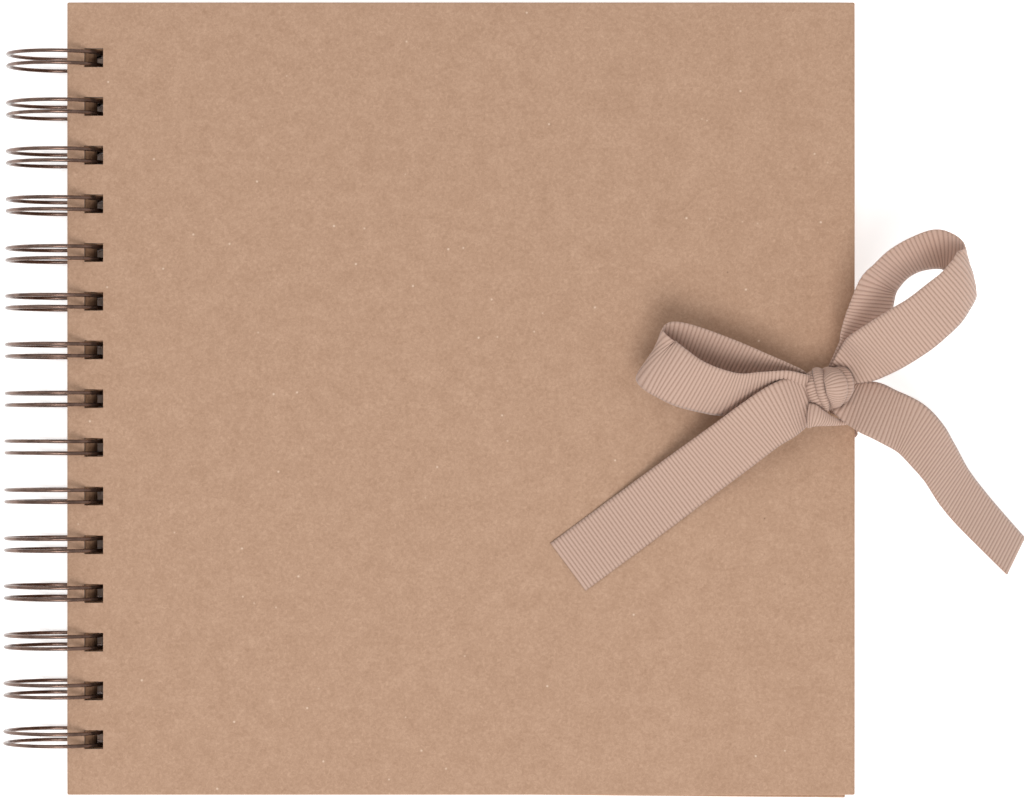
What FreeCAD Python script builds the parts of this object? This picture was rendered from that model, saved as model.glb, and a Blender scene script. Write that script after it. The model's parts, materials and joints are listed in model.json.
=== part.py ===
import FreeCAD, Part
import math
import os
import Sketcher
from FreeCAD import Placement, Rotation, Vector

# Scrapbook album bound with twin-loop wire and closed with a ribbon bow.
# Every piece is first modelled flat: X runs from the spine edge of the covers to the fore-edge,
# Y along the spine, Z up. The loops' centre line is then the hinge axis, and the whole album
# leans about it, because the loops stand prouder than the back cover when it lies on a table.

os.makedirs("parts", exist_ok=True)
doc = FreeCAD.newDocument("Album")

sizes = {
    "coverWidth": 205.4,
    "coverHeight": 206.7,
    "boardThick": 2.0,
    "wrapThick": 0.2,
    "turnIn": 15.0,
    "endpaperThick": 0.2,
    "endpaperInset": 2.5,
    "coverHole": 4.9,
    "coverHoleInset": 6.95,
    "leafCount": 30,
    "leafWidth": 198.0,
    "leafHeight": 200.0,
    "leafThick": 0.36,
    "leafPitch": 0.40,
    "leafHole": 4.8,
    "leafHoleInset": 5.2,
    "holeCount": 15,
    "holePitch": 12.7,
    "loopRadius": 12.5,
    "wireThick": 1.0,
    "loopSpacing": 3.1,
    "bendRadius": 0.9,
    "seamAngle": -62.0,
    "seamGap": 1.5,
    "axisInset": 3.5,
    "ribbonWidth": 15.4,
    "ribbonThick": 0.4,
    "ribbonPlay": 0.05,
    "ribbonAnchor": 30.0,
    "ribbonY": -2.0,
    "frontLeadGap": 0.3,
    "backLeadGap": 1.3,
    "knotLength": 9.0,
    "knotWidth": 13.0,
    "knotHeight": 10.0,
    "knotRound": 3.0,
    "backSkew": 0.5,
    "backSlipX": 0.39,
    "backSlipY": 0.2,
    "leafSlipX": 0.35,
    "leafSlipY": 0.2,
}

sheet = doc.addObject("Spreadsheet::Sheet", "Sizes")
for row, (alias, value) in enumerate(sizes.items(), 1):
    sheet.set(f"A{row}", alias)
    sheet.set(f"B{row}", str(value))
    sheet.setAlias(f"B{row}", alias)
doc.recompute()

leafBlock = "(Sizes.leafCount * Sizes.leafPitch)"
coverThick = "(Sizes.endpaperThick + Sizes.boardThick + Sizes.wrapThick)"


def size(expression):
    return float(sheet.evalExpression(expression))


coverInside = size(leafBlock) / 2
coverOutside = coverInside + size(coverThick)
loopOutside = size("Sizes.loopRadius + Sizes.wireThick / 2")
topLevel = coverOutside


def holeOffset(height):
    """How far the loop's wire is from the hinge axis, along X, at a height above the axis."""
    return math.sqrt(size("Sizes.loopRadius") ** 2 - height**2)


# Sketches, pads and pockets


def newBody(label):
    body = doc.addObject("PartDesign::Body", label)
    body.Label = label
    return body


def originPlane(body, role):
    return next(feature for feature in body.Origin.OriginFeatures if feature.Role == role)


def newSketch(body, level):
    sketch = body.newObject("Sketcher::SketchObject", "Outline")
    sketch.AttachmentSupport = [(originPlane(body, "XY_Plane"), "")]
    sketch.MapMode = "FlatFace"
    sketch.setExpression("AttachmentOffset.Base.z", level)
    return sketch


def addRectangle(sketch, left, right, bottom, top):
    """Draws a rectangle whose four sides are bound to expressions."""
    sides = [size(text) for text in (left, right, bottom, top)]
    corners = [Vector(sides[i], sides[j], 0) for i, j in ((0, 2), (1, 2), (1, 3), (0, 3))]
    first = sketch.GeometryCount
    for corner, following in zip(corners, corners[1:] + corners[:1]):
        sketch.addGeometry(Part.LineSegment(corner, following), False)
    lines = [first + i for i in range(4)]
    for line, following in zip(lines, lines[1:] + lines[:1]):
        sketch.addConstraint(Sketcher.Constraint("Coincident", line, 2, following, 1))
    for line, kind in zip(lines, ("Horizontal", "Vertical") * 2):
        sketch.addConstraint(Sketcher.Constraint(kind, line))
    placed = (
        ("DistanceX", lines[0], left),
        ("DistanceX", lines[1], right),
        ("DistanceY", lines[0], bottom),
        ("DistanceY", lines[2], top),
    )
    for kind, line, text in placed:
        at = sketch.addConstraint(Sketcher.Constraint(kind, -1, 1, line, 1, size(text)))
        sketch.setExpression(f"Constraints[{at}]", text)


def pad(body, level, thick, *rectangles):
    sketch = newSketch(body, level)
    for rectangle in rectangles:
        addRectangle(sketch, *rectangle)
    feature = body.newObject("PartDesign::Pad", "Pad")
    feature.Profile = sketch
    feature.setExpression("Length", thick)
    return feature


def pocket(body, level, deep, rectangle):
    """Cuts upwards, towards +Z, from the sketch's level."""
    sketch = newSketch(body, level)
    addRectangle(sketch, *rectangle)
    feature = body.newObject("PartDesign::Pocket", "Pocket")
    feature.Profile = sketch
    feature.Reversed = True
    feature.setExpression("Length", deep)
    return feature


def punchHoles(body, inset, side, thick):
    """Punches the row of square holes for the wire, and ends the body with it."""
    start = "-(Sizes.holeCount - 1) * Sizes.holePitch / 2"
    hole = (
        f"{inset} - {side} / 2",
        f"{inset} + {side} / 2",
        f"{start} - {side} / 2",
        f"{start} + {side} / 2",
    )
    first = pocket(body, "-1", f"{thick} + 2", hole)
    row = body.newObject("PartDesign::LinearPattern", "Holes")
    row.Originals = [first]
    row.Direction = (first.Profile[0], ["V_Axis"])
    row.setExpression("Length", "(Sizes.holeCount - 1) * Sizes.holePitch")
    row.setExpression("Occurrences", "Sizes.holeCount")
    body.Tip = row


def insetRectangle(inset):
    return (
        inset,
        f"Sizes.coverWidth - {inset}",
        f"-Sizes.coverHeight / 2 + {inset}",
        f"Sizes.coverHeight / 2 - {inset}",
    )


# Covers, modelled with the inside face at Z 0 and the outside face above it

coverHoles = ("Sizes.coverHoleInset", "Sizes.coverHole", coverThick)
outline = insetRectangle("0 * Sizes.coverWidth")
boardOutline = insetRectangle("Sizes.wrapThick")
turnInWindow = insetRectangle("Sizes.turnIn")
boardLevel = "Sizes.endpaperThick"
wallLevel = "Sizes.endpaperThick + Sizes.wrapThick"
faceLevel = "Sizes.endpaperThick + Sizes.boardThick"


def cutRibbonSeat(body, ribbonMiddle):
    """The ribbon's end is glued into a shallow seat under the endpaper."""
    seat = (
        "Sizes.coverWidth - Sizes.ribbonAnchor - Sizes.ribbonPlay",
        "Sizes.coverWidth + 1",
        f"{ribbonMiddle} - Sizes.ribbonWidth / 2 - Sizes.ribbonPlay",
        f"{ribbonMiddle} + Sizes.ribbonWidth / 2 + Sizes.ribbonPlay",
    )
    pocket(body, boardLevel, "Sizes.ribbonThick + Sizes.ribbonPlay", seat)


def coverBoard(label, ribbonMiddle):
    """Greyboard, with a step round its inside face for the paper's turn-ins."""
    body = newBody(label)
    pad(body, boardLevel, "Sizes.wrapThick", turnInWindow)
    pad(body, wallLevel, "Sizes.boardThick - Sizes.wrapThick", boardOutline)
    cutRibbonSeat(body, ribbonMiddle)
    punchHoles(body, *coverHoles)
    return body


def coverWrap(label, ribbonMiddle):
    """Kraft paper over the outside face, round the four edges and turned in behind."""
    body = newBody(label)
    pad(body, boardLevel, "Sizes.wrapThick", outline, turnInWindow)
    pad(body, wallLevel, "Sizes.boardThick - Sizes.wrapThick", outline, boardOutline)
    pad(body, faceLevel, "Sizes.wrapThick", outline)
    cutRibbonSeat(body, ribbonMiddle)
    punchHoles(body, *coverHoles)
    return body


def coverEndpaper(label):
    body = newBody(label)
    pad(body, "0", "Sizes.endpaperThick", insetRectangle("Sizes.endpaperInset"))
    punchHoles(body, *coverHoles)
    return body


def albumLeaf(label):
    body = newBody(label)
    sides = ("0", "Sizes.leafWidth", "-Sizes.leafHeight / 2", "Sizes.leafHeight / 2")
    pad(body, "0", "Sizes.leafThick", sides)
    punchHoles(body, "Sizes.leafHoleInset", "Sizes.leafHole", "Sizes.leafThick")
    return body


# Twin-loop wire: one bent wire, drawn as a pair of loops for each hole


def onLoop(angle, y=0.0):
    """A point of the wire's centre line, with the hinge axis at the origin."""
    radius = size("Sizes.loopRadius")
    return Vector(radius * math.cos(angle), y, radius * math.sin(angle))


def alongLoop(angle):
    return Vector(-math.sin(angle), 0, math.cos(angle))


def wirePath():
    """Half a bridge, a bend, a loop out, the turn at the tip, a loop back, a bend, half a bridge."""
    radius = size("Sizes.loopRadius")
    bend = size("Sizes.bendRadius")
    half = size("Sizes.loopSpacing / 2")
    bridgeEnd = size("Sizes.holePitch / 2")
    seam = math.radians(size("Sizes.seamAngle"))
    start = seam + bend / radius
    stop = seam + 2 * math.pi - (size("Sizes.seamGap") + half) / radius
    middle = (start + stop) / 2
    tip = onLoop(stop) + alongLoop(stop) * half

    def rootBend(side):
        """Quarter turn between the bridge and the loop, in the loop's tangent plane."""
        line = onLoop(start) - alongLoop(start) * bend
        centre = line + Vector(0, side * (half + bend), 0) + alongLoop(start) * bend
        corner = Vector(0, -side, 0) * (bend * math.sqrt(0.5))
        corner = corner - alongLoop(start) * (bend * math.sqrt(0.5))
        bridge = line + Vector(0, side * (half + bend), 0)
        return bridge, centre + corner, onLoop(start, side * half)

    first, firstMiddle, firstEnd = rootBend(1)
    last, lastMiddle, lastEnd = rootBend(-1)
    bridgeOut = Vector(0, bridgeEnd - half - bend, 0)
    edges = [
        Part.LineSegment(first + bridgeOut, first),
        Part.Arc(first, firstMiddle, firstEnd),
        Part.Arc(firstEnd, onLoop(middle, half), onLoop(stop, half)),
        Part.Arc(onLoop(stop, half), tip, onLoop(stop, -half)),
        Part.Arc(onLoop(stop, -half), onLoop(middle, -half), lastEnd),
        Part.Arc(lastEnd, lastMiddle, last),
        Part.LineSegment(last, last - bridgeOut),
    ]
    return Part.Wire([edge.toShape() for edge in edges])


def loopPair():
    path = wirePath()
    start = path.OrderedVertexes[0].Point
    section = Part.Circle(start, Vector(0, 1, 0), size("Sizes.wireThick / 2"))
    pair = path.makePipeShell([Part.Wire(section.toShape())], True, False, 2)
    drawn = path.Length * math.pi * size("Sizes.wireThick / 2") ** 2
    print(f"loop pair: volume {pair.Volume:.3f}, section times length {drawn:.3f}")
    return pair


def twinLoopWire(label):
    pair = loopPair()
    count = int(size("Sizes.holeCount"))
    pitch = size("Sizes.holePitch")
    wire = doc.addObject("Part::Feature", label)
    wire.Shape = Part.makeCompound(
        [pair.translated(Vector(0, (i - (count - 1) / 2) * pitch, 0)) for i in range(count)]
    )
    wire.Label = label
    return wire


# Ribbon. A route is a list of points with the direction that the ribbon's width takes there.
# Its points are measured from the spine edge, the middle of the fore-edge and the cover's top.

samplesPerPoint = 3


def ribbonPiece(label, route):
    half = size("Sizes.ribbonWidth / 2")
    thick = size("Sizes.ribbonThick / 2")
    points = [Vector(*row[:3]) for row in route]
    widths = [Vector(*row[3:]).normalize() for row in route]
    places = [0.0]
    for point, following in zip(points, points[1:]):
        places.append(places[-1] + point.distanceToPoint(following))
    middle = Part.BSplineCurve()
    middle.interpolate(Points=points, Parameters=places)
    edge = Part.BSplineCurve()
    edge.interpolate(Points=[p + w * half for p, w in zip(points, widths)], Parameters=places)
    count = samplesPerPoint * (len(points) - 1)
    sections = []
    for i in range(count + 1):
        place = places[-1] * i / count
        centre = middle.value(place)
        forward = Vector(*middle.tangent(place)[0])
        across = edge.value(place) - centre
        across = (across - forward * across.dot(forward)).normalize() * half
        up = forward.cross(across).normalize() * thick
        corners = [centre + across + up, centre - across + up]
        corners += [centre - across - up, centre + across - up]
        sections.append(Part.makePolygon(corners + corners[:1]))
    piece = doc.addObject("Part::Feature", label)
    piece.Shape = Part.makeLoft(sections, True, True)
    piece.Label = label
    print(f"{label}: {middle.length():.1f} mm long")
    return piece


leftLoop = [
    (192.2, 2.1, 4.8, 0.03, 0.85, 0.52),
    (188.8, 2.6, 5.4, 0.05, 0.8, 0.6),
    (182.3, 4.5, 5.8, 0.08, 0.8, 0.6),
    (174.3, 7.9, 6.2, 0.1, 0.8, 0.59),
    (166.1, 11.0, 7.0, 0.15, 0.8, 0.58),
    (159.8, 12.8, 7.6, 0.3, 0.8, 0.52),
    (155.7, 13.0, 8.6, 0.42, 0.83, 0.36),
    (153.3, 9.2, 12.8, 0.5, 0.84, 0.22),
    (156.6, 6.6, 14.3, 0.47, 0.8, 0.37),
    (161.1, 3.9, 14.2, 0.42, 0.75, 0.51),
    (166.6, 2.0, 13.0, 0.38, 0.7, 0.6),
    (172.5, 0.9, 11.2, 0.3, 0.69, 0.66),
    (178.9, 1.6, 9.2, 0.15, 0.65, 0.74),
    (185.8, 2.5, 8.0, 0.05, 0.65, 0.76),
    (192.1, 2.0, 7.4, 0.0, 0.86, 0.51),
]
rightLoop = [
    (203.8, 11.5, 4.2, -0.9, 0.1, 0.43),
    (206.1, 15.1, 5.6, -0.85, 0.08, 0.52),
    (208.3, 21.3, 7.0, -0.75, 0.2, 0.63),
    (208.7, 25.9, 8.0, -0.62, 0.33, 0.71),
    (210.3, 28.2, 8.8, -0.57, 0.37, 0.73),
    (212.7, 31.5, 9.6, -0.45, 0.4, 0.8),
    (216.0, 34.7, 10.4, -0.35, 0.45, 0.82),
    (220.3, 37.0, 11.3, -0.25, 0.52, 0.82),
    (225.6, 38.2, 12.6, -0.22, 0.62, 0.75),
    (229.1, 36.9, 14.2, -0.2, 0.73, 0.66),
    (231.8, 33.8, 16.4, -0.32, 0.8, 0.51),
    (231.5, 31.0, 18.4, -0.33, 0.78, 0.53),
    (229.7, 27.5, 19.5, -0.35, 0.76, 0.54),
    (226.2, 23.8, 19.8, -0.37, 0.81, 0.45),
    (221.4, 19.7, 19.2, -0.4, 0.81, 0.42),
    (216.9, 16.6, 17.4, -0.42, 0.83, 0.37),
    (211.9, 13.4, 14.6, -0.4, 0.82, 0.41),
    (207.3, 10.6, 11.4, -0.35, 0.81, 0.47),
    (205.0, 8.5, 9.0, -0.6, 0.75, 0.3),
]
leftTail = [
    (130.6, -43.9, 0.4, -0.59, 0.8, 0.0),
    (142.1, -35.4, 0.45, -0.59, 0.8, 0.0),
    (153.6, -26.9, 1.2, -0.59, 0.8, 0.08),
    (164.0, -19.1, 3.4, -0.58, 0.79, 0.2),
    (173.2, -12.2, 7.2, -0.56, 0.78, 0.28),
    (180.3, -6.8, 10.4, -0.53, 0.79, 0.31),
    (186.1, -3.1, 11.9, -0.45, 0.85, 0.27),
    (191.0, -0.5, 11.6, -0.3, 0.93, 0.2),
]
rightTail = [
    (204.9, -1.5, 6.1, 0.1, 0.93, -0.35),
    (208.2, -2.2, 7.2, 0.4, 0.82, -0.42),
    (213.3, -4.6, 7.3, 0.54, 0.74, -0.4),
    (219.3, -7.7, 5.8, 0.59, 0.71, -0.39),
    (223.8, -12.0, 3.5, 0.64, 0.62, -0.45),
    (227.4, -16.6, 0.8, 0.63, 0.51, -0.59),
    (231.9, -23.4, -2.9, 0.59, 0.51, -0.62),
    (238.1, -30.5, -6.2, 0.56, 0.51, -0.65),
    (247.6, -40.4, -9.8, 0.38, 0.63, -0.68),
]


def knot(label):
    body = newBody(label)
    outlineSides = ("-Sizes.knotLength / 2", "Sizes.knotLength / 2")
    outlineSides += ("-Sizes.knotWidth / 2", "Sizes.knotWidth / 2")
    block = pad(body, "0", "Sizes.knotHeight", outlineSides)
    doc.recompute()
    rounded = body.newObject("PartDesign::Fillet", "Round")
    rounded.Base = (block, [f"Edge{i + 1}" for i in range(len(block.Shape.Edges))])
    rounded.setExpression("Radius", "Sizes.knotRound")
    return body


def ribbonLead(label, runs):
    """A folded strap made of flat runs, each given by its left, right, lowest and highest edge."""
    boxes = []
    for left, right, low, high in runs:
        run = doc.addObject("Part::Box", f"{label}_run")
        run.setExpression("Length", f"{right} - ({left})")
        run.setExpression("Width", "Sizes.ribbonWidth")
        run.setExpression("Height", f"{high} - ({low})")
        run.setExpression("Placement.Base.x", left)
        run.setExpression("Placement.Base.y", "Sizes.ribbonY - Sizes.ribbonWidth / 2")
        run.setExpression("Placement.Base.z", low)
        boxes.append(run)
    strap = doc.addObject("Part::MultiFuse", label)
    strap.Shapes = boxes
    strap.Refine = True
    strap.Label = label
    return strap


def frontLead(label):
    """From its seat under the front endpaper, round the fore-edge and back under the knot."""
    seatLow = "Sizes.endpaperThick"
    seatHigh = f"{seatLow} + Sizes.ribbonThick"
    wallLeft = "Sizes.coverWidth + Sizes.frontLeadGap"
    wallRight = f"{wallLeft} + Sizes.ribbonThick"
    topLow = f"{coverThick} + Sizes.ribbonPlay"
    topHigh = f"{topLow} + Sizes.ribbonThick"
    inner = ("Sizes.coverWidth - Sizes.ribbonAnchor", wallRight, seatLow, seatHigh)
    wall = (wallLeft, wallRight, seatLow, topHigh)
    upper = ("Sizes.coverWidth - Sizes.knotLength", wallRight, topLow, topHigh)
    return ribbonLead(label, [inner, wall, upper])


def backLead(label):
    """From its seat in the back cover, out at the fore-edge and up past the leaves."""
    seatHigh = "-Sizes.endpaperThick"
    seatLow = f"{seatHigh} - Sizes.ribbonThick"
    wallLeft = "Sizes.coverWidth + Sizes.backLeadGap"
    wallRight = f"{wallLeft} + Sizes.ribbonThick"
    top = f"{leafBlock} + {coverThick}"
    inner = ("Sizes.coverWidth - Sizes.ribbonAnchor", wallRight, seatLow, seatHigh)
    wall = (wallLeft, wallRight, seatLow, top)
    return ribbonLead(label, [inner, wall])


# The assembly. Heights are measured from the hinge axis, in the middle of the closed album.

axisInset = size("Sizes.axisInset")
leafStep = size("Sizes.leafPitch")
leafSlack = (leafStep - size("Sizes.leafThick")) / 2
upright = Rotation()
faceDown = Rotation(Vector(1, 0, 0), 180)
placed = []


def place(piece, x, height, turned=upright, y=0.0):
    piece.Placement = Placement(Vector(x, y, height), turned)
    placed.append(piece)


def placeBack(piece, turned):
    """The back cover sits a little askew, as far as its holes' play on the wire lets it."""
    slip = Vector(-size("Sizes.backSlipX"), -size("Sizes.backSlipY"), 0)
    askew = Placement(slip, Rotation(Vector(0, 0, 1), -size("Sizes.backSkew")))
    place(piece, axisInset, -coverInside, turned)
    piece.Placement = askew * piece.Placement


ribbonMiddle = "Sizes.ribbonY"
for kind, build in (("board", coverBoard), ("wrap", coverWrap)):
    place(build(f"front_{kind}", ribbonMiddle), axisInset, coverInside)
    placeBack(build(f"back_{kind}", f"-({ribbonMiddle})"), faceDown)
place(coverEndpaper("front_endpaper"), axisInset, coverInside)
placeBack(coverEndpaper("back_endpaper"), faceDown)

for number in range(1, int(size("Sizes.leafCount")) + 1):
    bottom = -coverInside + (number - 1) * leafStep + leafSlack
    wireX = holeOffset(bottom + size("Sizes.leafThick / 2"))
    slipX = size("Sizes.leafSlipX") * math.sin(2.4 * number)
    slipY = size("Sizes.leafSlipY") * math.cos(3.7 * number)
    x = wireX - size("Sizes.leafHoleInset") + slipX
    place(albumLeaf(f"leaf_{number:02d}"), x, bottom, y=slipY)

place(twinLoopWire("twin_loop_wire"), 0, 0)
place(frontLead("ribbon_front_lead"), axisInset, coverInside)
placeBack(backLead("ribbon_back_lead"), upright)
knotX = axisInset + size("Sizes.coverWidth - Sizes.knotLength / 2") - 1.2
place(knot("ribbon_knot"), knotX, topLevel + 0.5)
for label, route in (
    ("ribbon_left_loop", leftLoop),
    ("ribbon_right_loop", rightLoop),
    ("ribbon_left_tail", leftTail),
    ("ribbon_right_tail", rightTail),
):
    place(ribbonPiece(label, route), axisInset, topLevel)

doc.recompute()

# The lean: the loops and the back cover's fore-edge both touch the table

reach = axisInset + size("Sizes.coverWidth")
lean = math.asin(loopOutside / math.hypot(reach, coverOutside)) - math.atan2(coverOutside, reach)
leaning = Placement(Vector(0, 0, 0), Rotation(Vector(0, 1, 0), math.degrees(lean)))
for piece in placed:
    piece.Placement = leaning * piece.Placement
doc.recompute()

whole = FreeCAD.BoundBox()
for piece in placed:
    whole.add(piece.Shape.optimalBoundingBox(False))
shift = Vector(-whole.Center.x, -whole.Center.y, -whole.ZMin)
for piece in placed:
    piece.Placement = Placement(shift, Rotation()) * piece.Placement
doc.recompute()

for thing in doc.Objects:
    if "Invalid" in thing.State or "Error" in thing.State:
        raise RuntimeError(f"{thing.Label} failed: {thing.State}")

print(f"lean {math.degrees(lean):.4f} degrees")
print(f"hinge axis at x {shift.x:.4f}, z {shift.z:.4f}, the wire's middle at y {shift.y:.4f}")
print(f"whole: {whole.XLength:.2f} x {whole.YLength:.2f} x {whole.ZLength:.2f}")
for piece in placed:
    if piece.Shape.isNull() or not piece.Shape.isValid():
        raise RuntimeError(f"{piece.Label} has no valid shape")
    piece.Shape.exportStep(f"parts/{piece.Label}.step")
    print(f"{piece.Label}: {len(piece.Shape.Solids)} solid, {piece.Shape.Volume:.1f} mm3")
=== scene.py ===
import bmesh
import bpy
import json
import math
from mathutils import Matrix, Vector


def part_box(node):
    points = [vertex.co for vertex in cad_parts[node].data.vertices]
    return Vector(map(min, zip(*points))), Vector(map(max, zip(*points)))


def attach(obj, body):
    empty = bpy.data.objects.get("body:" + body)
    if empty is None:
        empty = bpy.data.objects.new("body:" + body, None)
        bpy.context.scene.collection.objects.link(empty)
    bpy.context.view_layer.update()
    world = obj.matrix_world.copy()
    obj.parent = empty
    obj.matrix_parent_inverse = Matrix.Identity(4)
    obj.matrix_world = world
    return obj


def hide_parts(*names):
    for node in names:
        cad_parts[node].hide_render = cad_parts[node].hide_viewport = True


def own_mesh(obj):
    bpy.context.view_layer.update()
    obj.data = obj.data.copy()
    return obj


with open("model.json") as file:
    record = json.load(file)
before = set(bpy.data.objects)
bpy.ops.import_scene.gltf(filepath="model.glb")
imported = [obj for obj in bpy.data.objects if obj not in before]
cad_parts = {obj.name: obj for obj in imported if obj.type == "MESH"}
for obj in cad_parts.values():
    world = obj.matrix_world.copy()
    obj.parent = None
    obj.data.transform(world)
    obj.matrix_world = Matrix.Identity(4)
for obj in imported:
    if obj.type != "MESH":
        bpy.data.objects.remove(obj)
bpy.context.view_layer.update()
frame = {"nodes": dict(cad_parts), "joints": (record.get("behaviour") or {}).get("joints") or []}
bpy.context.scene.view_settings.view_transform = "Standard"
print("frame loaded")

mm = 0.001

# the album's own sizes, as it was designed, in millimetres
album = {
    "coverWidth": 205.4,
    "coverHeight": 206.7,
    "coverThick": 2.4,
    "paperThick": 0.2,
    "blockThick": 12.0,
    "axisInset": 3.5,
    "holeCount": 15,
    "holePitch": 12.7,
    "coverHole": 4.9,
    "coverHoleInset": 6.95,
    "ribbonWidth": 15.4,
    "ribbonY": -2.0,
    "ribbonAnchor": 30.0,
    "backSkew": 0.5,       # degrees
    "backSlipX": 0.39,
    "backSlipY": 0.2,
}
wire = {
    "radius": 12.5,
    "thick": 1.0,
    "spacing": 3.1,
    "bend": 0.9,
    "seamAngle": -62.0,
    "seamGap": 1.5,
    "stretch": 0.4,        # handling has pulled the loops out a little
    "flare": 0.7,          # and more so towards the tail
    "bentAside": 0.1,
    "sides": 12,
    "stepsRound": 56,
}

hinge = next(joint for joint in frame["joints"] if joint["name"] == "front_cover_hinge")
hingePoint = Vector(hinge["pos_m"])
outside = album["blockThick"] / 2 + album["coverThick"]
reach = album["axisInset"] + album["coverWidth"]
loopOutside = wire["radius"] + wire["thick"] / 2
lean = math.asin(loopOutside / math.hypot(reach, outside)) - math.atan2(outside, reach)
leaning = Matrix.Translation(hingePoint) @ Matrix.Rotation(lean, 4, "Y")
# x 0 is the covers' spine edge, in metres, and then in millimetres with the height from the
# hinge axis, and from the front cover's outside
fromSpine = leaning @ Matrix.Translation((album["axisInset"] * mm, 0, 0))
toSize = Matrix.Scale(mm, 4)
onAlbum = fromSpine @ toSize
onCover = onAlbum @ Matrix.Translation((0, 0, outside))
slip = Matrix.Translation((-album["backSlipX"], -album["backSlipY"], 0))
slip = slip @ Matrix.Rotation(math.radians(-album["backSkew"]), 4, "Z")
askew = leaning @ toSize @ slip @ Matrix.Translation((album["axisInset"], 0, 0))   # the back cover sits askew


def linear(hexColour):   # sRGB hex to linear RGBA
    channels = [int(hexColour[i:i + 2], 16) / 255 for i in (1, 3, 5)]
    return tuple(c / 12.92 if c <= 0.04045 else ((c + 0.055) / 1.055) ** 2.4 for c in channels) + (1.0,)


def addNode(tree, kind, settings=None, links=None):
    node = tree.nodes.new(kind)
    for key, value in (settings or {}).items():
        if isinstance(key, str) and hasattr(node, key):
            setattr(node, key, value)
        else:
            node.inputs[key].default_value = value
    for key, source in (links or {}).items():
        tree.links.new(source, node.inputs[key])
    return node


def newMaterial(name):
    material = bpy.data.materials.new(name)
    material.use_nodes = True
    tree = material.node_tree
    tree.nodes.clear()
    shader = addNode(tree, "ShaderNodeBsdfPrincipled")
    addNode(tree, "ShaderNodeOutputMaterial", links={"Surface": shader.outputs[0]})
    return material, tree, shader


def finishPiece(bm, name, material, place):   # the place goes into the mesh
    bm.transform(place)
    mesh = bpy.data.meshes.new(name)
    bm.to_mesh(mesh)
    bm.free()
    piece = bpy.data.objects.new(name, mesh)
    bpy.context.collection.objects.link(piece)
    mesh.materials.append(material)
    return piece


kraft = {
    "colour": "#b7947b",
    "pale": "#c8a58c",
    "dark": "#a6836a",
    "fleck": "#e0c8b2",
    "speck": "#7d5f4a",
    "cloudSize": 5.0,      # mm, soft blotches where the pulp settled unevenly
    "fibreSize": 0.8,      # mm, coarser than real fibres so that they show
    "fleckSpacing": 7.0,   # mm between the pale fibres on the surface
    "fleckSize": 0.055,    # of that spacing
    "speckSpacing": 16.0,
    "speckSize": 0.022,
    "tooth": 0.12,         # mm, deeper than the real surface so that it shows
}


# uncoated kraft is unbleached pulp, so it is matt and cloudy, with loose pale and dark fibres
def paperMaterial(name, look):
    material, tree, shader = newMaterial(name)
    place = addNode(tree, "ShaderNodeTexCoord").outputs["Object"]
    cloud = addNode(
        tree, "ShaderNodeTexNoise",
        {"Scale": 1 / (look["cloudSize"] * mm), "Detail": 5.0, "Roughness": 0.6}, {"Vector": place},
    )
    fibre = addNode(
        tree, "ShaderNodeTexNoise",
        {"Scale": 1 / (look["fibreSize"] * mm), "Detail": 4.0, "Roughness": 0.75, "Distortion": 0.8},
        {"Vector": place},
    )
    softened = addNode(tree, "ShaderNodeMath", {"operation": "MULTIPLY", 1: 0.35}, {0: cloud.outputs["Fac"]})
    both = {0: fibre.outputs["Fac"], 1: softened.outputs[0]}
    weighted = addNode(tree, "ShaderNodeMath", {"operation": "ADD"}, both).outputs[0]
    spread = addNode(tree, "ShaderNodeMapRange", {"From Min": 0.4, "From Max": 0.95}, {"Value": weighted})
    ramp = addNode(tree, "ShaderNodeValToRGB", links={"Fac": spread.outputs[0]})
    ramp.color_ramp.elements[0].color = linear(look["dark"])
    ramp.color_ramp.elements[1].color = linear(look["pale"])
    middle = ramp.color_ramp.elements.new(0.5)
    middle.color = linear(look["colour"])
    colour = ramp.outputs[0]
    for mark in ("fleck", "speck"):
        spacing, size = look[mark + "Spacing"] * mm, look[mark + "Size"]
        scatter = {"Scale": 1 / spacing, "Randomness": 1.0}
        cells = addNode(tree, "ShaderNodeTexVoronoi", scatter, {"Vector": place})
        spot = addNode(
            tree, "ShaderNodeMapRange",
            {"From Min": size, "From Max": size * 0.4}, {"Value": cells.outputs["Distance"]},
        )
        soft = addNode(tree, "ShaderNodeMath", {"operation": "MULTIPLY", 1: 0.8}, {0: spot.outputs[0]})
        mixed = addNode(tree, "ShaderNodeMix", {"data_type": "RGBA"}, {"Factor": soft.outputs[0]})
        tree.links.new(colour, mixed.inputs["A"])
        mixed.inputs["B"].default_value = linear(look[mark])
        colour = mixed.outputs["Result"]
    tree.links.new(colour, shader.inputs["Base Color"])
    depth = {"Strength": 0.35, "Distance": look["tooth"] * mm}
    bump = addNode(tree, "ShaderNodeBump", depth, {"Height": weighted})
    tree.links.new(bump.outputs[0], shader.inputs["Normal"])
    shader.inputs["Roughness"].default_value = 0.88
    shader.inputs["Specular IOR Level"].default_value = 0.22
    return material


bronzeCoat = {"dark": "#5e463b", "worn": "#84695c", "wearSize": 3.0}   # wearSize in mm


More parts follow.
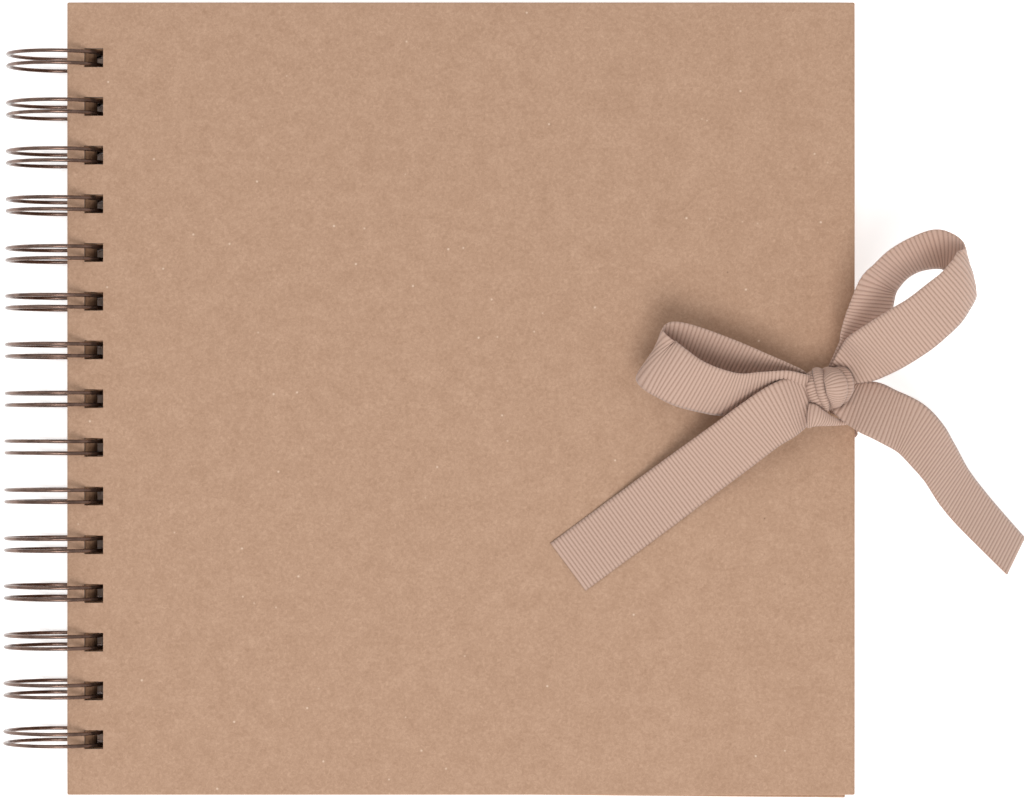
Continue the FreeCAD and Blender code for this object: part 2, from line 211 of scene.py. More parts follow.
# steel wire with an antique bronze coating is brown and smooth, with long narrow highlights
def bronzeMaterial(name):
    material, tree, shader = newMaterial(name)
    place = addNode(tree, "ShaderNodeTexCoord").outputs["Object"]
    size = bronzeCoat["wearSize"] * mm
    wear = addNode(tree, "ShaderNodeTexNoise", {"Scale": 1 / size, "Detail": 4.0}, {"Vector": place})
    ramp = addNode(tree, "ShaderNodeValToRGB", links={"Fac": wear.outputs["Fac"]})
    ramp.color_ramp.elements[0].position = 0.3
    ramp.color_ramp.elements[0].color = linear(bronzeCoat["dark"])
    ramp.color_ramp.elements[1].position = 0.7
    ramp.color_ramp.elements[1].color = linear(bronzeCoat["worn"])
    tree.links.new(ramp.outputs[0], shader.inputs["Base Color"])
    rough = addNode(tree, "ShaderNodeMapRange", {"To Min": 0.2, "To Max": 0.34}, {"Value": wear.outputs["Fac"]})
    tree.links.new(rough.outputs[0], shader.inputs["Roughness"])
    shader.inputs["Metallic"].default_value = 0.85
    shader.inputs["Coat Weight"].default_value = 0.35
    shader.inputs["Coat Roughness"].default_value = 0.15
    return material


ribbon = {
    "width": album["ribbonWidth"],
    "knotWrap": 36.0,      # the length of ribbon in the knot's one turn and its tuck
    "selvedge": 0.8,       # mm at each side, where the ribs die down
    "thick": 0.3,
    "ribPitch": 1.0,
    "tightPitch": 0.7,     # the ribs lie closer where the knot is pulled tight
    "ribHeight": 0.2,
    "rowsPerRib": 4,       # faces to a rib
    "across": 14,          # faces over the width
    "colour": "#c5a594",
    # painted shade: the grooves between the ribs are coloured darker
    "grooveShade": "#a38170",
    "pale": "#ceb2a2",
    "crease": "#5d3f31",   # painted shade, darkest where layers press together and little light gets in
    "creaseReach": 1.6,    # mm
    "threadHeight": 0.05,
}


# woven polyester grosgrain has thick ribs across, fine warp threads along, and a soft sheen
def grosgrainMaterial(name):
    material, tree, shader = newMaterial(name)
    weave = addNode(tree, "ShaderNodeUVMap", {"uv_map": "weave"}).outputs[0]
    parts = addNode(tree, "ShaderNodeSeparateXYZ", links={"Vector": weave})
    turn = {"operation": "MULTIPLY", 1: math.pi / ribbon["ribPitch"]}
    turns = addNode(tree, "ShaderNodeMath", turn, {0: parts.outputs["X"]})
    swell = addNode(tree, "ShaderNodeMath", {"operation": "SINE"}, {0: turns.outputs[0]})
    rib = addNode(tree, "ShaderNodeMath", {"operation": "ABSOLUTE"}, {0: swell.outputs[0]})
    threads = addNode(tree, "ShaderNodeMapping", {"Scale": (1.6, 6.0, 1.0)}, {"Vector": weave})
    warp = addNode(tree, "ShaderNodeTexNoise", {"Scale": 1.0, "Detail": 2.0}, {"Vector": threads.outputs[0]})
    # painted shade: the colour darkens towards each groove between the ribs
    ramp = addNode(tree, "ShaderNodeValToRGB", links={"Fac": rib.outputs[0]})
    ramp.color_ramp.elements[0].position = 0.1
    ramp.color_ramp.elements[0].color = linear(ribbon["grooveShade"])
    ramp.color_ramp.elements[1].position = 0.85
    ramp.color_ramp.elements[1].color = linear(ribbon["colour"])
    lift = addNode(
        tree, "ShaderNodeMapRange",
        {"From Min": 0.35, "From Max": 0.75, "To Max": 0.5}, {"Value": warp.outputs["Fac"]},
    )
    mixed = addNode(tree, "ShaderNodeMix", {"data_type": "RGBA"}, {"Factor": lift.outputs[0]})
    tree.links.new(ramp.outputs[0], mixed.inputs["A"])
    mixed.inputs["B"].default_value = linear(ribbon["pale"])
    # painted shade: ambient occlusion darkens the colour in creases and between the knot's strands
    crease = addNode(tree, "ShaderNodeAmbientOcclusion", {"Distance": ribbon["creaseReach"] * mm})
    depth = addNode(
        tree, "ShaderNodeMapRange", {"From Min": 0.25, "From Max": 0.95}, {"Value": crease.outputs["AO"]},
    )
    shaded = addNode(tree, "ShaderNodeMix", {"data_type": "RGBA"}, {"Factor": depth.outputs[0]})
    shaded.inputs["A"].default_value = linear(ribbon["crease"])
    tree.links.new(mixed.outputs["Result"], shaded.inputs["B"])
    tree.links.new(shaded.outputs["Result"], shader.inputs["Base Color"])
    relief = {"Strength": 0.3, "Distance": ribbon["threadHeight"] * mm}
    bump = addNode(tree, "ShaderNodeBump", relief, {"Height": warp.outputs["Fac"]})
    tree.links.new(bump.outputs[0], shader.inputs["Normal"])
    shader.inputs["Roughness"].default_value = 0.72
    shader.inputs["Sheen Weight"].default_value = 0.35
    shader.inputs["Sheen Roughness"].default_value = 0.5
    shader.inputs["Specular IOR Level"].default_value = 0.3
    return material


coverPaper = paperMaterial("kraftCoverPaper", kraft)
leafLook = {**kraft, "colour": "#a98266", "pale": "#b48e72", "dark": "#9a7358", "fibreSize": 0.4}
endpaperLook = {**kraft, "colour": "#b08b70", "pale": "#ba967c", "dark": "#a57f64"}
boardLook = {**kraft, "colour": "#8e8378", "pale": "#9c9288", "dark": "#7a7066", "fleck": "#b8aea4"}
leafCard = paperMaterial("kraftLeafCard", leafLook)
endpaperCard = paperMaterial("kraftEndpaper", endpaperLook)
greyBoard = paperMaterial("greyBoard", boardLook)
bronze = bronzeMaterial("antiqueBronzeWire")
grosgrain = grosgrainMaterial("grosgrainRibbon")

for node, piece in frame["nodes"].items():
    if node.startswith("leaf"):
        look = leafCard
    elif node.endswith("endpaper"):
        look = endpaperCard
    elif node.endswith("board"):
        look = greyBoard
    elif node.endswith("wrap"):
        look = coverPaper
    elif node.startswith("ribbon"):
        look = grosgrain
    else:
        look = bronze
    piece.data.materials.clear()
    piece.data.materials.append(look)
print("materials made")

cover = {"round": 0.45, "cornerRound": 0.4, "turnIn": 15.0, "seatTop": 0.65}


# paper round a board, from a sheet that is folded down the sides and turned in behind
def coverWrap(name, node, body, place, ribbonMiddle):
    wide, high = album["coverWidth"], album["coverHeight"]
    bm = bmesh.new()
    bmesh.ops.create_grid(bm, x_segments=1, y_segments=1, size=0.5)
    bmesh.ops.scale(bm, vec=(wide, high, 1), verts=bm.verts)
    bmesh.ops.translate(bm, vec=(wide / 2, 0, album["coverThick"]), verts=bm.verts)
    rim = [edge for edge in bm.edges if edge.is_boundary]
    folded = bmesh.ops.extrude_edge_only(bm, edges=rim)["geom"]
    corners = [item for item in folded if isinstance(item, bmesh.types.BMVert)]
    bmesh.ops.translate(bm, vec=(0, 0, album["paperThick"] - album["coverThick"]), verts=corners)
    rim = [edge for edge in bm.edges if edge.is_boundary]
    turned = bmesh.ops.extrude_edge_only(bm, edges=rim)["geom"]
    for vert in turned:
        if isinstance(vert, bmesh.types.BMVert):
            vert.co.x += cover["turnIn"] * (1 if vert.co.x < wide / 2 else -1)
            vert.co.y -= math.copysign(cover["turnIn"], vert.co.y)
    bmesh.ops.recalc_face_normals(bm, faces=bm.faces)
    upright = [e for e in bm.edges if abs(e.verts[0].co.z - e.verts[1].co.z) > 1]
    rounding = {"segments": 4, "profile": 0.5, "affect": "EDGES", "material": -1}
    bmesh.ops.bevel(bm, geom=upright, offset=cover["cornerRound"], **rounding)
    folds = [e for e in bm.edges if e.calc_face_angle(0) > math.radians(60)]
    bmesh.ops.bevel(bm, geom=folds, offset=cover["round"], **rounding)
    inset, half = album["coverHoleInset"], album["coverHole"] / 2
    for x in (inset - half, inset + half):
        everything = bm.verts[:] + bm.edges[:] + bm.faces[:]
        bmesh.ops.bisect_plane(bm, geom=everything, plane_co=(x, 0, 0), plane_no=(1, 0, 0))
    middles = [(i - (album["holeCount"] - 1) / 2) * album["holePitch"] for i in range(album["holeCount"])]
    for y in [middle + side * half for middle in middles for side in (-1, 1)]:
        strip = [f for f in bm.faces if abs(f.calc_center_median().x - inset) < half and abs(f.normal.z) > 0.9]
        near = {item for f in strip for item in (*f.verts, *f.edges, f)}
        bmesh.ops.bisect_plane(bm, geom=list(near), plane_co=(0, y, 0), plane_no=(0, 1, 0))
    punched = [
        f for f in bm.faces
        if abs(f.calc_center_median().x - inset) < half and abs(f.normal.z) > 0.9
        and any(abs(f.calc_center_median().y - middle) < half for middle in middles)
    ]
    bmesh.ops.delete(bm, geom=punched, context="FACES")
    seatLeft = wide - album["ribbonAnchor"] - 0.05
    seatHalf = album["ribbonWidth"] / 2 + 0.05
    cuts = [((seatLeft, 0, 0), (1, 0, 0)), ((0, 0, cover["seatTop"]), (0, 0, 1))]
    cuts += [((0, ribbonMiddle + side * seatHalf, 0), (0, 1, 0)) for side in (-1, 1)]
    for spot, normal in cuts:
        inner = [f for f in bm.faces if f.calc_center_median().z < cover["seatTop"] + 1.5]
        near = {item for f in inner for item in (*f.verts, *f.edges, f)}
        bmesh.ops.bisect_plane(bm, geom=list(near), plane_co=spot, plane_no=normal)
    seated = []
    for face in bm.faces:
        middle = face.calc_center_median()
        if middle.x > seatLeft and middle.z < cover["seatTop"] and abs(middle.y - ribbonMiddle) < seatHalf:
            seated.append(face)
    bmesh.ops.delete(bm, geom=seated, context="FACES")
    for face in bm.faces:
        face.smooth = face.calc_area() < 100 and min(abs(face.normal.z), 1 - abs(face.normal.z)) > 0.001
    piece = finishPiece(bm, name, coverPaper, place)
    thick = piece.modifiers.new("paper", "SOLIDIFY")
    thick.thickness = album["paperThick"] * mm
    thick.offset = -1
    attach(piece, body)
    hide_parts(node)
    return piece


frontUp = onAlbum @ Matrix.Translation((0, 0, album["blockThick"] / 2))
backDown = askew @ Matrix.Translation((0, 0, -album["blockThick"] / 2)) @ Matrix.Rotation(math.pi, 4, "X")
coverWrap("frontCoverWrap", "front_wrap", "front_cover", frontUp, album["ribbonY"])
coverWrap("backCoverWrap", "back_wrap", "binding", backDown, -album["ribbonY"])
print("covers wrapped")


def onLoop(angle, y):
    return Vector((wire["radius"] * math.cos(angle), y, wire["radius"] * math.sin(angle)))


def alongLoop(angle):
    return Vector((-math.sin(angle), 0, math.cos(angle)))


def spinOn(bm, ring, centre, axis, angle, steps):
    spun = bmesh.ops.spin(bm, geom=ring, cent=centre, axis=axis, angle=angle, steps=steps)
    return spun["geom_last"]


# one pair: half a bridge, round the loop, back at the tip, round again, half a bridge
def loopPair(bm, middle):
    half, bend, radius = wire["spacing"] / 2, wire["bend"], wire["radius"]
    start = math.radians(wire["seamAngle"]) + bend / radius
    stop = math.radians(wire["seamAngle"]) + 2 * math.pi - (wire["seamGap"] + half) / radius
    line = onLoop(start, middle) - alongLoop(start) * bend
    outward = onLoop(start, 0).normalized()
    straight = album["holePitch"] / 2 - half - bend
    made = bmesh.ops.create_circle(bm, segments=wire["sides"], radius=wire["thick"] / 2)["verts"]
    bmesh.ops.rotate(bm, verts=made, cent=(0, 0, 0), matrix=Matrix.Rotation(math.pi / 2, 3, "X"))
    bmesh.ops.translate(bm, verts=made, vec=line + Vector((0, album["holePitch"] / 2, 0)))
    ring = list({e for v in made for e in v.link_edges})
    ring = bmesh.ops.extrude_edge_only(bm, edges=ring)["geom"]
    bmesh.ops.translate(bm, verts=[i for i in ring if isinstance(i, bmesh.types.BMVert)], vec=(0, -straight, 0))
    ring = [i for i in ring if not isinstance(i, bmesh.types.BMFace)]
    centre = line + Vector((0, half + bend, 0)) + alongLoop(start) * bend
    ring = spinOn(bm, ring, centre, outward, -math.pi / 2, 6)
    ring = spinOn(bm, ring, (0, 0, 0), (0, -1, 0), stop - start, wire["stepsRound"])
    ring = spinOn(bm, ring, onLoop(stop, middle), onLoop(stop, 0).normalized(), math.pi, 12)
    ring = spinOn(bm, ring, (0, 0, 0), (0, 1, 0), stop - start, wire["stepsRound"])
    centre = line - Vector((0, half + bend, 0)) + alongLoop(start) * bend
    ring = spinOn(bm, ring, centre, outward, -math.pi / 2, 6)
    edges = [i for i in ring if isinstance(i, bmesh.types.BMEdge)]
    ring = bmesh.ops.extrude_edge_only(bm, edges=edges)["geom"]
    bmesh.ops.translate(bm, verts=[i for i in ring if isinstance(i, bmesh.types.BMVert)], vec=(0, -straight, 0))


bm = bmesh.new()
rootX = wire["radius"] * math.cos(math.radians(wire["seamAngle"]))
for i in range(album["holeCount"]):
    before = len(bm.verts)
    loopPair(bm, (i - (album["holeCount"] - 1) / 2) * album["holePitch"])
    stretch = wire["stretch"] + wire["flare"] * (1 - i / (album["holeCount"] - 1))
    bend = wire["bentAside"] * math.sin(2.3 * i + 0.8)
    for vert in bm.verts[:][before:]:
        out = max(0.0, (rootX - vert.co.x) / (rootX + wire["radius"]))   # 1 at the far side
        vert.co.x -= stretch * out ** 5
        vert.co.y += bend * out ** 1.3
bmesh.ops.remove_doubles(bm, verts=bm.verts, dist=0.001)
bmesh.ops.holes_fill(bm, edges=[e for e in bm.edges if e.is_boundary], sides=0)
bmesh.ops.recalc_face_normals(bm, faces=bm.faces)
for face in bm.faces:
    face.smooth = True
bindingWire = finishPiece(bm, "twinLoopWire", bronze, leaning @ toSize)
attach(bindingWire, "binding")
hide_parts("twin_loop_wire")
print("wire bent")

fineSteps = 40   # between two rows


# even steps along a smooth curve through the rows
def smoothRoute(rows, count):
    points = [Vector(row[:3]) for row in rows]
    widths = [Vector(row[3:6]).normalized() for row in rows]
    extras = [Vector((*row[6:8], 0)) if len(row) > 6 else Vector((1, 0, 0)) for row in rows]
    fine = []
    for i in range(len(rows) - 1):
        before, after = max(i - 1, 0), min(i + 2, len(rows) - 1)
        for k in range(fineSteps):
            t = k / fineSteps
            weights = (
                -0.5 * t + t * t - 0.5 * t ** 3, 1 - 2.5 * t * t + 1.5 * t ** 3,
                0.5 * t + 2 * t * t - 1.5 * t ** 3, -0.5 * t * t + 0.5 * t ** 3,
            )
            used = list(zip(weights, (before, i, i + 1, after)))
            fine.append([
                sum((weight * group[j] for weight, j in used), Vector((0, 0, 0)))
                for group in (points, widths, extras)
            ])
    fine.append([points[-1], widths[-1], extras[-1]])
    travelled = [0.0]
    for one, other in zip(fine, fine[1:]):
        travelled.append(travelled[-1] + (other[0] - one[0]).length)
    stations, k = [], 0
    for i in range(count + 1):
        goal = travelled[-1] * i / count
        while k < len(fine) - 2 and travelled[k + 1] < goal:
            k += 1
        t = (goal - travelled[k]) / max(travelled[k + 1] - travelled[k], 1e-9)
        stations.append([a.lerp(b, t) for a, b in zip(fine[k], fine[k + 1])])
    return stations, travelled[-1]


# adds a flat strip with real ribs, laid along a route that says how it twists
def addStrip(bm, rows, pitch):
    length = smoothRoute(rows, 10)[1]
    ribs = max(2, round(length / pitch))
    count = ribs * ribbon["rowsPerRib"]
    frames = []
    stations = smoothRoute(rows, count)[0]
    for i, (point, width, extra) in enumerate(stations):
        ahead = (stations[min(i + 1, count)][0] - stations[max(i - 1, 0)][0]).normalized()
        width = (width - ahead * width.dot(ahead)).normalized()
        frames.append((point, width, ahead.cross(width).normalized(), extra))
    strip = bmesh.new()
    layer = strip.loops.layers.uv.new("weave")
    bmesh.ops.create_grid(strip, x_segments=count, y_segments=ribbon["across"], size=0.5)
    bmesh.ops.solidify(strip, geom=strip.faces[:], thickness=1.0)
    low = min(v.co.z for v in strip.verts)
    for face in strip.faces:
        face.smooth = True
        for loop in face.loops:
            spot = loop.vert.co
            loop[layer].uv = ((spot.x + 0.5) * ribs * ribbon["ribPitch"], (spot.y + 0.5) * ribbon["width"])
    for vert in strip.verts:
        i = min(max(round((vert.co.x + 0.5) * count), 0), count)
        across = vert.co.y * 2
        side = 1 if vert.co.z > low + 0.5 else -1
        point, width, up, extra = frames[i]
        swell = abs(math.sin(math.pi * i / ribbon["rowsPerRib"])) ** 0.7 - 0.5
        body = min(1.0, (1 - abs(across)) * ribbon["width"] / 2 / ribbon["selvedge"])
        lift = ribbon["thick"] / 2 * (0.75 + 0.25 * body) + ribbon["ribHeight"] * swell * (0.35 + 0.65 * body)
        crown = extra.y * (1 - across * across)
        vert.co = point + width * (across * ribbon["width"] / 2 * extra.x) + up * (side * lift + crown)
    bmesh.ops.recalc_face_normals(strip, faces=strip.faces)
    made = bpy.data.meshes.new("strip")
    strip.to_mesh(made)
    strip.free()
    bm.from_mesh(made)
    bpy.data.meshes.remove(made)
    return length


def ribbonPiece(name, strips, place, body, node):
    bm = bmesh.new()
    pitch = ribbon["tightPitch"] if name == "ribbonKnot" else ribbon["ribPitch"]
    length = sum(addStrip(bm, rows, pitch) for rows in strips)
    piece = finishPiece(bm, name, grosgrain, place)
    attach(piece, body)
    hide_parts(node)
    print(f"{name}: {length:.1f} mm of ribbon")
    return piece, length


# each row: a point, from the spine edge, the middle and the cover's top, then the direction of the
# ribbon's width, and where it is gathered, how much of its width is left and how high it arches
leftLoop = [
    (196.1, 3.7, 3.0, 0.05, 1.0, 0.05, 0.4, 0.8),
    (192.2, 2.1, 4.8, 0.03, 0.85, 0.52, 0.6, 0.8),
    (188.8, 2.6, 5.4, 0.05, 0.8, 0.6, 0.85, 0.4),
    (182.3, 4.5, 5.8, 0.08, 0.8, 0.6),
    (174.3, 7.9, 6.2, 0.1, 0.8, 0.59),
    (166.1, 11.0, 7.0, 0.15, 0.8, 0.58),
    (159.8, 12.8, 7.6, 0.3, 0.8, 0.52),
    (155.7, 13.0, 8.6, 0.42, 0.83, 0.36, 1.0, 0.6),
    (153.2, 11.5, 10.6, 0.5, 0.85, 0.13, 1.0, 1.0),
    (153.3, 9.2, 12.8, 0.5, 0.84, 0.22, 1.0, 1.0),
    (156.6, 6.6, 14.3, 0.47, 0.8, 0.37, 1.0, 0.8),
    (161.1, 3.9, 14.2, 0.42, 0.75, 0.51, 1.0, 0.6),
    (166.6, 2.0, 13.0, 0.38, 0.7, 0.6, 1.0, 0.5),
    (172.5, 0.9, 11.2, 0.3, 0.69, 0.66, 1.0, 0.5),
    (178.9, 1.6, 9.2, 0.15, 0.65, 0.74, 1.0, 0.4),
    (185.8, 2.5, 8.0, 0.05, 0.65, 0.76, 0.9, 0.4),
    (192.1, 2.0, 7.4, 0.0, 0.86, 0.51, 0.6, 0.8),
    (195.9, 3.2, 5.6, 0.0, 1.0, 0.0, 0.4, 0.8),
]
rightLoop = [
    (200.3, 5.3, 2.4, -0.93, 0.31, 0.21, 0.4, 0.8),
    (203.8, 11.5, 4.2, -0.9, 0.1, 0.43, 0.6, 0.8),
    (206.1, 15.1, 5.6, -0.85, 0.08, 0.52, 0.85, 0.4),
    (208.3, 21.3, 7.0, -0.75, 0.2, 0.63),
    (210.3, 28.2, 8.8, -0.57, 0.37, 0.73),
    (212.7, 31.5, 9.6, -0.45, 0.4, 0.8),
    (216.0, 34.7, 10.4, -0.35, 0.45, 0.82),
    (220.3, 37.0, 11.3, -0.25, 0.52, 0.82),
    (225.6, 38.2, 12.6, -0.22, 0.62, 0.75, 1.0, -0.5),
    (229.1, 36.9, 14.2, -0.2, 0.73, 0.66, 1.0, -0.8),
    (232.3, 33.8, 16.4, -0.32, 0.8, 0.51, 1.0, -1.1),
    (232.0, 31.0, 18.4, -0.33, 0.78, 0.53, 1.0, -1.1),
    (229.7, 27.5, 19.5, -0.35, 0.76, 0.54, 1.0, -0.8),
    (226.2, 23.8, 19.8, -0.37, 0.81, 0.45, 1.0, -0.5),
    (221.4, 19.7, 19.2, -0.4, 0.81, 0.42, 1.0, -0.5),
    (216.9, 16.6, 17.4, -0.42, 0.83, 0.37, 1.0, -0.5),
    (211.9, 13.4, 14.6, -0.4, 0.82, 0.41, 1.0, -0.5),
    (207.3, 10.6, 11.4, -0.35, 0.81, 0.47, 0.95, 0.3),
    (203.7, 8.3, 8.4, -0.45, 0.89, 0.1, 0.68, 0.9),
    (200.5, 5.8, 6.4, -0.41, 0.91, 0.0, 0.4, 0.8),
]
leftTail = [
    (130.6, -43.9, 0.4, -0.59, 0.8, 0.0),
    (142.1, -35.4, 0.45, -0.59, 0.8, 0.0),
    (153.6, -26.9, 1.2, -0.59, 0.8, 0.08),
    (164.0, -19.1, 3.4, -0.58, 0.79, 0.2),
    (173.2, -12.2, 7.2, -0.56, 0.78, 0.28),
    (180.3, -6.8, 9.9, -0.53, 0.79, 0.31),
    (186.1, -3.1, 10.4, -0.45, 0.85, 0.27, 1.0, 0.2),
    (191.0, -0.5, 8.2, -0.3, 0.9, 0.3, 0.9, 0.6),
    (194.8, 1.6, 6.6, -0.15, 0.98, 0.1, 0.7, 1.2),
    (198.1, 2.9, 5.6, -0.1, 1.0, 0.0, 0.45, 1.0),
]
rightTail = [
    (198.8, 2.7, 4.6, 0.1, 1.0, 0.0, 0.4, 0.8),
    (203.1, -0.5, 5.8, 0.08, 0.95, -0.3, 0.68, 0.6),
    (208.2, -2.2, 7.2, 0.4, 0.82, -0.42),
    (213.3, -4.6, 7.3, 0.54, 0.74, -0.4),
    (219.3, -7.7, 5.8, 0.59, 0.71, -0.39),
    (223.8, -12.0, 3.5, 0.64, 0.62, -0.45),
    (227.4, -16.6, 0.8, 0.63, 0.51, -0.59),
    (231.9, -23.4, -2.9, 0.59, 0.51, -0.62),
    (238.1, -30.5, -6.2, 0.56, 0.51, -0.65),
    (248.7, -41.4, -9.8, 0.23, 0.75, -0.62),
]
rightStrand = [
    (198.0, 7.7, 2.0, 0.98, 0.2, 0.0, 0.2, 0.35),
    (198.1, 7.0, 7.0, 0.95, 0.29, 0.1, 0.26, 0.7),
    (198.8, 5.7, 10.4, 0.94, 0.33, 0.0, 0.34, 1.05),
    (199.6, 3.6, 11.6, 0.98, 0.2, -0.1, 0.38, 1.19),
    (199.8, 1.4, 11.0, 1.0, 0.0, -0.1, 0.36, 1.12),
    (199.4, -0.7, 8.6, 0.95, -0.29, -0.1, 0.3, 0.84),
    (198.8, -2.5, 4.0, 0.98, -0.2, 0.0, 0.22, 0.56),
]
leftStrand = [
    (195.5, 7.4, 3.0, 1.0, -0.1, 0.0, 0.2, 0.48),
    (195.5, 6.5, 7.4, 0.92, -0.37, 0.09, 0.24, 0.8),
    (195.7, 4.7, 9.6, 0.99, -0.1, 0.1, 0.22, 0.96),
    (196.0, 2.3, 10.2, 0.96, 0.19, 0.19, 0.2, 0.96),
    (196.6, 0.0, 9.6, 0.95, 0.24, 0.19, 0.18, 0.88),
    (197.1, -2.0, 8.2, 1.0, 0.0, 0.1, 0.14, 0.72),
    (197.4, -3.3, 6.4, 1.0, 0.0, 0.0, 0.08, 0.4),
]
sideStrand = [
    (194.5, 6.6, 2.6, 0.98, 0.2, 0.1, 0.24, 0.48),
    (193.7, 5.8, 6.6, 0.92, 0.28, 0.28, 0.28, 0.96),
    (193.4, 3.6, 8.6, 0.95, 0.1, 0.29, 0.28, 1.12),
    (194.1, 1.3, 8.8, 0.95, -0.14, 0.28, 0.26, 1.12),
    (195.1, -1.0, 8.2, 0.93, -0.32, 0.19, 0.24, 0.96),
    (196.6, -3.0, 5.6, 0.96, -0.29, 0.0, 0.2, 0.64),
]
foldStrand = [
    (199.5, 8.2, 2.0, 1.0, 0.1, 0.0, 0.2, 0.35),
    (200.2, 7.3, 6.4, 0.92, 0.37, -0.09, 0.3, 0.7),
    (201.3, 5.6, 9.0, 0.91, 0.34, -0.24, 0.34, 0.84),
    (201.9, 3.4, 9.6, 0.95, 0.1, -0.29, 0.34, 0.84),
    (201.6, 1.1, 8.8, 0.95, -0.14, -0.28, 0.3, 0.77),
    (200.5, -1.2, 6.0, 0.93, -0.32, -0.19, 0.24, 0.56),
]
tuck = [
    (192.6, -4.5, 8.8, 0.23, 0.97, 0.1, 0.42, 0.5),
    (193.8, -4.6, 9.4, 0.26, 0.96, 0.1, 0.4, 0.9),
    (195.3, -5.0, 9.2, 0.3, 0.95, 0.1, 0.31, 0.9),
    (197.8, -5.7, 7.8, 0.35, 0.93, 0.05, 0.2, 0.7),
    (200.7, -6.2, 6.2, 0.3, 0.95, 0.0, 0.11, 0.4),
    (203.4, -6.3, 5.2, 0.2, 0.98, 0.0, 0.07, 0.2),
]
seat = -album["coverThick"] + 0.43
rim = album["coverWidth"]
frontLead = [
    (rim - 30, -2.0, seat, 0, 1, 0),
    (rim - 12, -2.0, seat, 0, 1, 0),
    (rim - 4, -2.0, seat, 0, 1, 0),
    (rim - 1.2, -1.9, seat, 0, 1, 0, 0.94, 0.0),
    (rim + 0.1, -1.5, seat + 0.1, 0, 1, 0, 0.82, 0.0),
    (rim + 0.5, -1.2, seat + 0.6, 0, 1, 0, 0.72, 0.1),
    (rim + 0.55, -1.0, -0.6, 0, 1, 0, 0.66, 0.2),
    (rim + 0.3, -0.9, 0.2, 0, 1, 0, 0.62, 0.3),
    (rim - 0.6, -0.9, 0.6, 0, 1, 0, 0.62, 0.4),
    (rim - 2.0, -0.8, 1.0, 0, 1, 0, 0.56, 0.5),
    (rim - 4.0, -0.7, 1.8, 0, 1, 0, 0.5, 0.6),
    (rim - 6.5, -0.6, 3.0, 0, 1, 0, 0.42, 0.8),
]
backSeat = -album["coverThick"] - album["blockThick"] - 0.43
backLead = [
    (rim - 30, -2.0, backSeat, 0, 1, 0),
    (rim - 12, -2.0, backSeat, 0, 1, 0),
    (rim - 4, -2.0, backSeat, 0, 1, 0),
    (rim - 1.2, -1.9, backSeat, 0, 1, 0, 0.94, 0.0),
    (rim + 0.6, -1.5, backSeat + 0.2, 0, 1, 0, 0.82, 0.0),
    (rim + 1.4, -1.1, backSeat + 1.2, 0, 1, 0, 0.7, 0.0),
    (rim + 1.5, -0.8, backSeat + 3.0, 0, 1, 0, 0.64, 0.1),
    (rim + 1.5, -0.6, backSeat + 6.0, 0, 1, 0, 0.62, 0.2),
    (rim + 1.5, -0.6, backSeat + 10.0, 0, 1, 0, 0.6, 0.3),
    (rim + 1.5, -0.9, -0.6, 0, 1, 0, 0.62, 0.5),
    (rim + 1.0, -0.6, 1.0, 0, 1, 0, 0.56, 0.6),
    (rim - 0.6, -0.5, 2.1, 0, 1, 0, 0.5, 0.6),
    (rim - 3.5, -0.4, 3.4, 0, 1, 0, 0.45, 0.8),
]

normal = leaning.to_3x3() @ Vector((0, 0, 1))
pieces = (
    ("ribbonLeftLoop", [leftLoop], "ribbon_left_loop", "folded"),
    ("ribbonRightLoop", [rightLoop], "ribbon_right_loop", "folded"),
    ("ribbonLeftTail", [leftTail], "ribbon_left_tail", "laid"),
    ("ribbonRightTail", [rightTail], "ribbon_right_tail", "hung"),
    ("ribbonFrontLead", [frontLead], "ribbon_front_lead", "folded"),
    ("ribbonKnot", [rightStrand, leftStrand, sideStrand, foldStrand, tuck], "ribbon_knot", "folded"),
)
for name, strips, node, held in pieces:
    piece, length = ribbonPiece(name, strips, onCover, "front_cover", node)
    if name == "ribbonKnot":
        length = ribbon["knotWrap"]   # its strands are creases side by side in one turn of the ribbon
    if name != "ribbonFrontLead":
        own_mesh(piece)

backOnCover = askew @ Matrix.Translation((0, 0, outside))
piece, length = ribbonPiece("ribbonBackLead", [backLead], backOnCover, "binding", "ribbon_back_lead")
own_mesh(piece)
print("ribbon tied")

# the glow keeps the floor pale in the shadows
stage = {"floorSize": 3.0, "floor": "#f6f5f4", "glow": 0.55, "sky": 0.6}

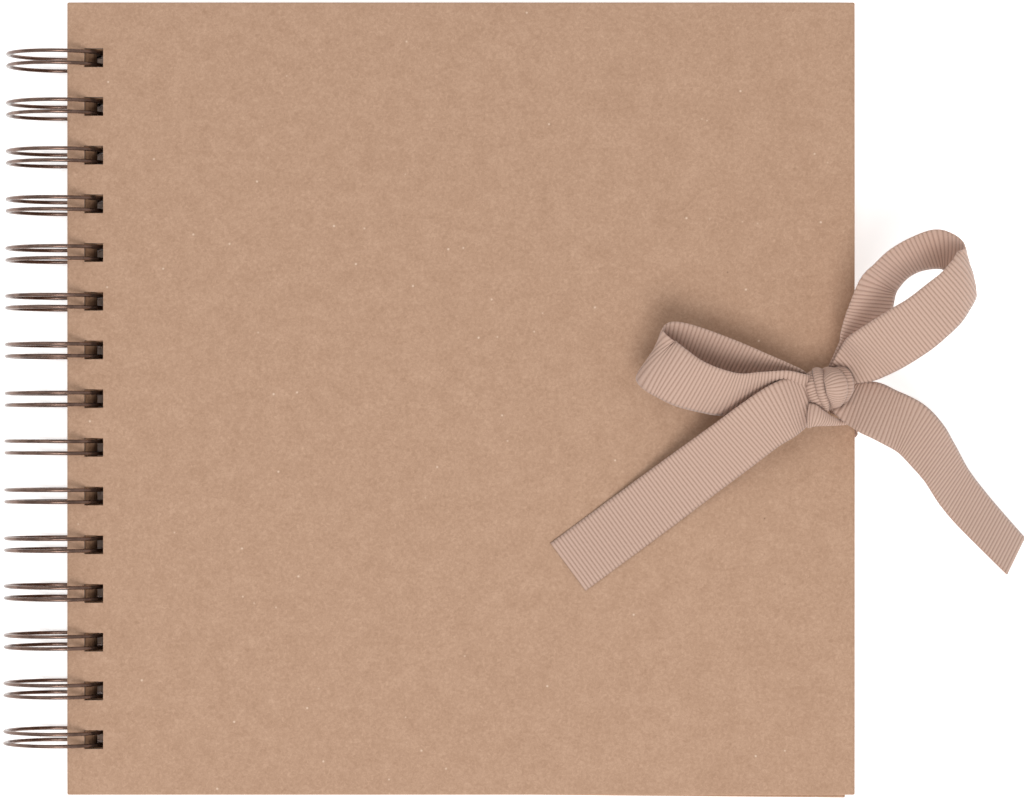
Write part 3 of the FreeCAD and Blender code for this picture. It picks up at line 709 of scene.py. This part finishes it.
bm = bmesh.new()
bmesh.ops.create_grid(bm, x_segments=1, y_segments=1, size=stage["floorSize"] / 2)
blockLow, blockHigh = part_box("leaf_01")
for spot in (blockLow, blockHigh):
    for normal in ((1, 0, 0), (0, 1, 0)):
        everything = bm.verts[:] + bm.edges[:] + bm.faces[:]
        bmesh.ops.bisect_plane(bm, geom=everything, plane_co=spot, plane_no=normal)
for face in bm.faces:
    middle = face.calc_center_median()
    under = all(blockLow[i] < middle[i] < blockHigh[i] for i in (0, 1))
    face.material_index = int(under)
floorMaterial, tree, shader = newMaterial("paleFloor")
shader.inputs["Base Color"].default_value = linear(stage["floor"])
shader.inputs["Roughness"].default_value = 0.9
shader.inputs["Emission Color"].default_value = (1, 1, 1, 1)
shader.inputs["Emission Strength"].default_value = stage["glow"]
floor = finishPiece(bm, "floor", floorMaterial, Matrix.Translation((0, 0, -0.0002)))
shadedFloor, tree, shader = newMaterial("floorUnderAlbum")   # a glow here would show through the holes
shader.inputs["Base Color"].default_value = linear(stage["floor"])
floor.data.materials.append(shadedFloor)

world = bpy.data.worlds.new("studio")
bpy.context.scene.world = world
world.use_nodes = True
world.node_tree.nodes["Background"].inputs["Color"].default_value = (1, 1, 1, 1)
world.node_tree.nodes["Background"].inputs["Strength"].default_value = stage["sky"]


def areaLight(name, place, aim, size, power):
    light = bpy.data.lights.new(name, "AREA")
    light.shape = "DISK"
    light.size = size
    light.energy = power
    lamp = bpy.data.objects.new(name, light)
    lamp.location = place
    lamp.rotation_euler = (Vector(aim) - Vector(place)).to_track_quat("-Z", "Y").to_euler()
    bpy.context.collection.objects.link(lamp)


areaLight("keyLight", (0.2, -0.85, 1.5), (0, 0, 0), 1.0, 15.5)
areaLight("fillLight", (-0.8, 0.5, 1.4), (0, 0, 0), 1.2, 2.4)

view = {
    "distance": 1030.0,    # mm above the front cover
    "frameWidth": 267.0,   # mm of the cover's plane that the picture takes in
    "x": 116.0,
    "y": -12.1,
    "shift": 0.043,
    "sensor": 36.0,
}
lens = bpy.data.cameras.new("camera")
lens.sensor_width = view["sensor"]
lens.lens = view["sensor"] * view["distance"] / view["frameWidth"]
lens.shift_y = view["shift"]
lens.clip_start = 0.01
camera = bpy.data.objects.new("camera", lens)
eye = Matrix.Translation((view["x"] * mm, view["y"] * mm, (outside + view["distance"]) * mm))
camera.matrix_world = fromSpine @ eye
bpy.context.collection.objects.link(camera)
bpy.context.scene.camera = camera
